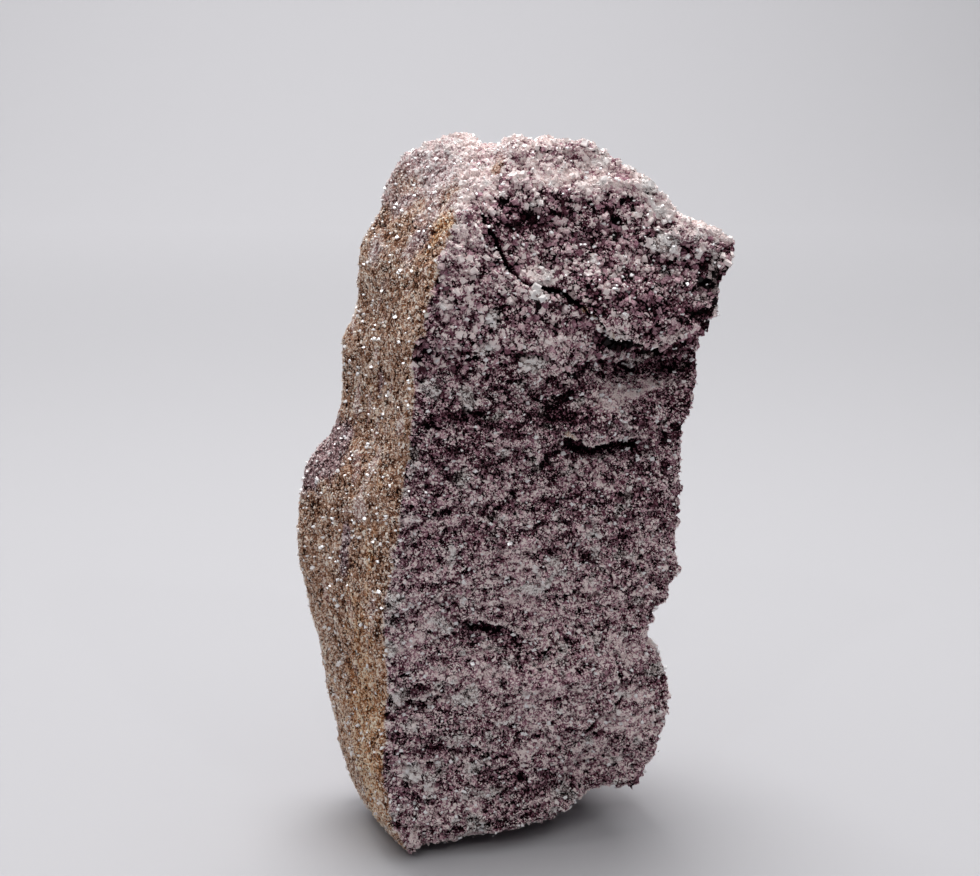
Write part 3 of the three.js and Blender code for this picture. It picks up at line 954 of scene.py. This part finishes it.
grainsLook = {
    # width in mm and how rare the large ones are, thickness for a width of 1, how much they tilt at random
    # and lean upward, and how far they rise, also for a width of 1
    "coarsePlates": ((0.6, 2.0), 2.6, (0.2, 0.5), 0.5, 0.3, (-0.2, 0.15)),
    "coarseChips": ((0.35, 0.95), 2.2, (0.25, 0.7), 0.8, 0.2, (-0.1, 0.3)),
    "finePlates": ((0.4, 1.3), 3.0, (0.15, 0.4), 0.5, 0.8, (-0.2, 0.2)),
    "fineChips": ((0.3, 0.8), 2.2, (0.2, 0.6), 0.7, 0.7, (-0.1, 0.3)),
    "skinPlates": ((0.5, 1.3), 3.0, (0.2, 0.4), 0.3, 0.0, (-0.3, 0.1)),
    "skinChips": ((0.3, 0.85), 3.0, (0.4, 0.9), 0.6, 0.0, (-0.2, 0.2)),
    # which plates and chips lie on each part of the rock, and how many
    "coarse": (("coarsePlates", 6500), ("coarseChips", 25500)),
    "fine": (("finePlates", 4200), ("fineChips", 32000)),
    "hidden": (("finePlates", 3600), ("coarseChips", 17500)),
    "weathered": (("skinPlates", 2200), ("skinChips", 24000)),
    # how far their tones spread about the middle one, and how they shine
    "freshSpread": 0.42,
    "weatheredSpread": 0.4,
    "toneMiddle": 0.55,
    "polishRarity": 1.5,
    "skinDulling": 0.35,
    # grains are left out where the strip along a crack is barer than this
    "leftBare": 0.3,
    "finish": {
        "shakeScale": 1500,
        "shake": 0.3 * mm,
        "grainScale": 2600,
        "grainTone": 0.2,
        "fineScale": 5000,
        "fineTone": 0.42,
        # painted shade along the seams between grains: how wide and how dark
        "gap": 0.04,
        "gapTone": 0.12,
        "dull": 0.65,
        "shiny": 0.25,
        "gloss": 0.14,
        "bump": 0.3,
        "bumpDepth": 0.12 * mm,
    },
}
shapeLook = {
    # how uneven the corners are, how much smaller a plate's top is and how far it tips
    "reach": (0.7, 1.3),
    "plateTurn": 0.33,
    "plateTop": (0.6, 1.0),
    "plateTip": 0.4,
    # a chip's length and breadth for its width
    "chipLength": 1.15,
    "chipBreadth": (0.45, 1),
}
plateCorners = 4
plateFaces = np.array([(0, 1, 2, 3), (7, 6, 5, 4), (0, 4, 5, 1), (1, 5, 6, 2), (2, 6, 7, 3), (3, 7, 4, 0)])
# a chip's tip and three lower corners
chipCorners = np.array([(0, 0, 1.4), (1, 0, -0.5), (-0.5, 0.87, -0.5), (-0.5, -0.87, -0.5)])
chipFaces = np.array([(0, 1, 2), (0, 2, 3), (0, 3, 1), (1, 3, 2)])


def surfaceSpots(mesh, surface, count, wanted, rng):
    # random spots on the rock, more where "wanted" is high, with the surface's numbers there
    triangles = readRows(mesh.loop_triangles, "vertices", 3, np.int32)
    a, b, c = (surface["points"][triangles[:, k]] for k in range(3))
    area = np.linalg.norm(np.cross(b - a, c - a), axis=1)
    weight = area * wanted[triangles].mean(axis=1)
    corners = triangles[rng.choice(len(triangles), size=count, p=weight / weight.sum())]
    u, v = rng.random((2, count))
    over = u + v > 1
    u, v = np.where(over, 1 - u, u), np.where(over, 1 - v, v)
    mix = np.stack([1 - u - v, u, v], axis=1)
    found = {}
    for name, values in surface.items():
        share = mix if values.ndim == 1 else mix[:, :, None]
        found[name] = (values[corners] * share).sum(axis=1)
    found["normals"] /= np.linalg.norm(found["normals"], axis=1)[:, None]
    return found


def randomWidths(widths, rarity, count, rng):
    # from the small to the large width, with fewer large ones the higher the rarity
    small, large = widths
    return (small + (large - small) * rng.random(count) ** rarity) * mm


def squareTo(axis, rng):
    # a random direction square to each axis, and the one square to both
    side = np.cross(axis, rng.normal(size=axis.shape))
    side /= np.linalg.norm(side, axis=1)[:, None]
    return side, np.cross(axis, side)


def plates(place, axis, width, thickness, rng):
    # closed plates with uneven corners, each a bottom and a smaller tipped top
    look = shapeLook
    corners = (len(place), plateCorners)
    side, other = squareTo(axis, rng)
    turn = np.arange(plateCorners) + rng.uniform(-look["plateTurn"], look["plateTurn"], corners)
    turn = turn * 2 * math.pi / plateCorners
    reach = width[:, None] / 2 * rng.uniform(*look["reach"], corners)
    flat = side[:, None] * np.cos(turn)[:, :, None] + other[:, None] * np.sin(turn)[:, :, None]
    rise = axis[:, None] * thickness[:, None, None] / 2
    tip = 1 + rng.uniform(-look["plateTip"], look["plateTip"], corners)[:, :, None]
    topReach = reach * rng.uniform(*look["plateTop"], (len(place), 1))
    top = place[:, None] + flat * topReach[:, :, None] + rise * tip
    bottom = place[:, None] + flat * reach[:, :, None] - rise
    return np.concatenate([top, bottom], axis=1)


def chips(place, axis, width, thickness, rng):
    # closed chips of four faces, flattened along their axis
    look = shapeLook
    count = len(place)
    side, other = squareTo(axis, rng)
    turned = np.stack([side, other, axis], axis=1)
    corners = chipCorners[None] * rng.uniform(*look["reach"], (count, len(chipCorners), 1))
    breadth = width * rng.uniform(*look["chipBreadth"], count)
    scale = np.stack([width * look["chipLength"], breadth, thickness], axis=1)[:, None] / 2
    return place[:, None] + (corners * scale) @ turned


def grainsMesh(name, shapes):
    # one mesh from sets of alike closed grains: (vertices of each grain, faces of one, numbers of each)
    mesh = bpy.data.meshes.new(name)
    firstVertex, firstLoop = 0, 0
    points, loops, starts, numbers = [], [], [], []
    for vertices, faces, values in shapes:
        count, perGrain = vertices.shape[:2]
        loop = (firstVertex + perGrain * np.arange(count)[:, None] + faces.ravel()).ravel()
        points.append(vertices.reshape(-1, 3))
        loops.append(loop)
        starts.append(np.arange(firstLoop, firstLoop + len(loop), faces.shape[1]))
        numbers.append({label: np.repeat(value, perGrain) for label, value in values.items()})
        firstVertex += count * perGrain
        firstLoop += len(loop)
    starts = np.concatenate(starts)
    mesh.vertices.add(firstVertex)
    mesh.vertices.foreach_set("co", np.concatenate(points).ravel())
    mesh.loops.add(firstLoop)
    mesh.loops.foreach_set("vertex_index", np.concatenate(loops).astype(np.int32))
    mesh.polygons.add(len(starts))
    mesh.polygons.foreach_set("loop_start", starts.astype(np.int32))
    mesh.update(calc_edges=True)
    addNumbers(mesh, {label: np.concatenate([part[label] for part in numbers]) for label in numbers[0]})
    mesh.shade_flat()
    return mesh


def grainSet(rock, surface, kind, count, wanted, rng):
    # one set of alike grains on the rock, each with a tone and polish of its own
    look = grainsLook
    widths, rarity, thickness, tilt, lean, rise = look[kind]
    shape, faces = (plates, plateFaces) if kind.endswith("Plates") else (chips, chipFaces)
    spot = surfaceSpots(rock.data, surface, count, wanted, rng)
    normal, skin = spot["normals"], spot["skin"]
    width = randomWidths(widths, rarity, count, rng)
    axis = normal + rng.normal(size=(count, 3)) * tilt + np.array([0, 0, lean])
    axis /= np.linalg.norm(axis, axis=1)[:, None]
    place = spot["points"] + normal * (width * rng.uniform(*rise, count))[:, None]
    vertices = shape(place, axis, width, width * rng.uniform(*thickness, count), rng)
    keep = np.all((vertices > low) & (vertices < high), axis=(1, 2))
    keep &= spot["bare"] < look["leftBare"]
    kinds = masks(place, normal, skin)[-1]
    spread = blend(look["freshSpread"], look["weatheredSpread"], skin)
    # each grain's tone starts from the rock's tone beneath it, painted shade included
    tone = look["toneMiddle"] + spread * (rng.random(count) + rng.random(count) - 1) + spot["tone"]
    polish = rng.random(count) ** look["polishRarity"] * (1 - look["skinDulling"] * skin)
    numbers = {"tone": tone, "skin": skin, "polish": polish, **kinds}
    return vertices[keep], faces, {label: values[keep] for label, values in numbers.items()}


def addGrains(name, rock, surface, part, wanted, seed):
    rng = np.random.default_rng(seed)
    sets = [grainSet(rock, surface, kind, count, wanted, rng) for kind, count in grainsLook[part]]
    mesh = grainsMesh(name, sets)
    finish = bpy.data.materials.get("mica_scales") or rockFinish("mica_scales", grainsLook["finish"])
    mesh.materials.append(finish)
    print(name, "has", sum(len(p.vertices) - 2 for p in mesh.polygons), "triangles")
    return addObject(name, mesh)


glintsLook = {
    "seed": 106,
    "count": 1300,
    # in mm
    "widths": (0.6, 1.2),
    "rarity": 2.0,
    "thickness": 0.2,
    "rise": 0.65 * mm,
    "skinRise": 0.35 * mm,
    # the way most of them face, and how far they turn from it
    "toward": (-0.17, -0.57, 0.8),
    "turn": 0.13,
    "facing": 0.2,
    # near white: a painted highlight, on top of the reflection from the gloss
    "shade": "#fbf8f9",
    "roughness": 0.16,
    "gloss": 1.0,
}


def addGlints(rock, surface, wanted):
    # clean scales turned to catch the light; their near-white colour is a painted highlight besides their
    # real reflection
    look = glintsLook
    count = look["count"]
    rng = np.random.default_rng(look["seed"])
    spot = surfaceSpots(rock.data, surface, count, wanted, rng)
    width = randomWidths(look["widths"], look["rarity"], count, rng)
    axis = np.array(look["toward"]) + rng.normal(size=(count, 3)) * look["turn"]
    # where the rock faces away from that they lie flat on it
    facing = np.sum(axis * spot["normals"], axis=1)[:, None]
    axis = np.where(facing > look["facing"], axis, spot["normals"])
    axis /= np.linalg.norm(axis, axis=1)[:, None]
    rise = blend(look["rise"], look["skinRise"], spot["skin"])
    place = spot["points"] + spot["normals"] * rise[:, None]
    vertices = plates(place, axis, width, width * look["thickness"], rng)
    keep = np.all((vertices > low) & (vertices < high), axis=(1, 2))
    mesh = grainsMesh("mica_glints", [(vertices[keep], plateFaces, {})])
    mesh.materials.append(plainFinish("mica_glints", look))
    return addObject("mica_glints", mesh)


def dress(piece):
    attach(piece, "root")


# The photograph's camera, its aim (across, back, up) as shares of the block's box

cameraLook = {
    "azimuth": -16.0,
    "elevation": 12.0,
    "distance": 0.3535,
    "lens": 60.0,
    "aim": (0.458, 0.545, 0.567),
    "clipStart": 0.01,
}


# Stage: a seamless pale sweep, which bends up before and behind the block, under a wide soft ceiling light,
# with small lights for sparkle

stageLook = {
    "shade": "#bab9bc",
    "wallDistance": 1.6,
    "bend": 1.0,
    "bendSteps": 24,
    "halfWidth": 3.5,
    "wallHeight": 2.5,
    "roughness": 0.9,
    "gloss": 0.1,
}
lightsLook = {
    # name: place in metres from the block's middle as the camera sees it (right, away, up), side, watts
    "ceiling": ((-0.1, 0.1, 1.3), 2.2, 12.5),
    "overhead": ((-0.04, 0.1, 0.7), 0.3, 3.3),
    "farCeiling": ((-0.3, 2.4, 1.7), 2.6, 76.0),
    "sparkleLeft": ((-0.3, -0.65, 0.6), 0.03, 0.3),
    "sparkleMiddle": ((0.0, -0.7, 0.68), 0.03, 0.3),
    "sparkleRight": ((0.45, -0.6, 0.6), 0.03, 0.3),
}
roomLook = {"light": 0.15, "tint": (0.93, 0.95, 1.0), "wideLight": 1.0}


def makeStage():
    look = stageLook
    bend = look["bend"]
    wall = []
    for k in range(look["bendSteps"] + 1):
        turn = math.pi / 2 * k / look["bendSteps"]
        wall.append((look["wallDistance"] + bend * math.sin(turn), bend * (1 - math.cos(turn))))
    wall.append((look["wallDistance"] + bend, look["wallHeight"]))
    profile = [(-y, z) for y, z in reversed(wall)] + wall
    side = look["halfWidth"]
    vertices = [(x, y, z) for y, z in profile for x in (-side, side)]
    faces = [(2 * k, 2 * k + 1, 2 * k + 3, 2 * k + 2) for k in range(len(profile) - 1)]
    mesh = bpy.data.meshes.new("paper_sweep")
    mesh.from_pydata(vertices, [], faces)
    mesh.shade_smooth()
    mesh.materials.append(plainFinish("paper", look))
    sweep = addObject("paper_sweep", mesh)
    sweep.location.z = low[2]
    sweep.rotation_euler.z = math.radians(cameraLook["azimuth"])


def makeLights():
    middle = Vector((low + high) / 2)
    turn = Matrix.Rotation(math.radians(cameraLook["azimuth"]), 3, "Z")
    for name, (place, side, watts) in lightsLook.items():
        away = turn @ Vector(place)
        data = bpy.data.lights.new(name, "AREA")
        data.shape = "SQUARE"
        data.size = side
        data.energy = watts
        lamp = addObject(name, data)
        lamp.location = middle + away
        # wide lights point straight down, and small ones at the block
        aim = Vector((0, 0, -1)) if side > roomLook["wideLight"] else -away
        lamp.rotation_euler = aim.to_track_quat("-Z", "Y").to_euler()
    world = bpy.data.worlds.new("room")
    world.use_nodes = True
    background = world.node_tree.nodes["Background"]
    background.inputs["Color"].default_value = (*roomLook["tint"], 1)
    background.inputs["Strength"].default_value = roomLook["light"]
    bpy.context.scene.world = world


def makeCamera():
    look = cameraLook
    a, e = math.radians(look["azimuth"]), math.radians(look["elevation"])
    back = Vector((math.sin(a) * math.cos(e), -math.cos(a) * math.cos(e), math.sin(e)))
    aim = Vector(low + np.array(look["aim"]) * size)
    data = bpy.data.cameras.new("photo_camera")
    data.lens = look["lens"]
    data.clip_start = look["clipStart"]
    camera = addObject("photo_camera", data)
    camera.location = aim + back * look["distance"]
    camera.rotation_euler = (-back).to_track_quat("-Z", "Y").to_euler()
    bpy.context.scene.camera = camera


rock, surface = makeRock()
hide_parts(blockName)
dress(rock)

# which grains cover which part of the rock: shares of its height, then shares of the normals
coverLook = {
    "offFloor": 0.008,
    "middleFrom": 0.36,
    "topFrom": 0.69,
    "frontFrom": (0.2, 0.5),
    "underFrom": (-0.8, -0.3),
}
normals, skin = surface["normals"], surface["skin"]
up = upShare(surface["points"])
isOffFloor = up > coverLook["offFloor"]
fresh = (1 - skin) * isOffFloor
weathered = skin * isOffFloor
frontish = ease(np.maximum(-normals[:, 1], normals[:, 2]), *coverLook["frontFrom"]) * fresh
elsewhere = (1 - ease(-normals[:, 1], *coverLook["frontFrom"])) * fresh
elsewhere = elsewhere * ease(normals[:, 2], *coverLook["underFrom"])
isTop = up > coverLook["topFrom"]
isBottom = up <= coverLook["middleFrom"]
pieces = {
    # name: part of the rock, where the grains are wanted, seed
    "mica_front_top": ("coarse", frontish * isTop, 101),
    "mica_front_middle": ("fine", frontish * ~isTop * ~isBottom, 102),
    "mica_front_bottom": ("fine", frontish * isBottom, 103),
    "mica_back": ("hidden", elsewhere, 104),
    "weathered_grains": ("weathered", weathered, 105),
}
for name, (part, wanted, seed) in pieces.items():
    dress(addGrains(name, rock, surface, part, wanted, seed))
dress(addGlints(rock, surface, np.maximum(frontish, weathered)))
print("scales placed")

makeStage()
makeLights()
makeCamera()
bpy.context.scene.view_settings.view_transform = "Standard"
print("stage, lights and camera placed")
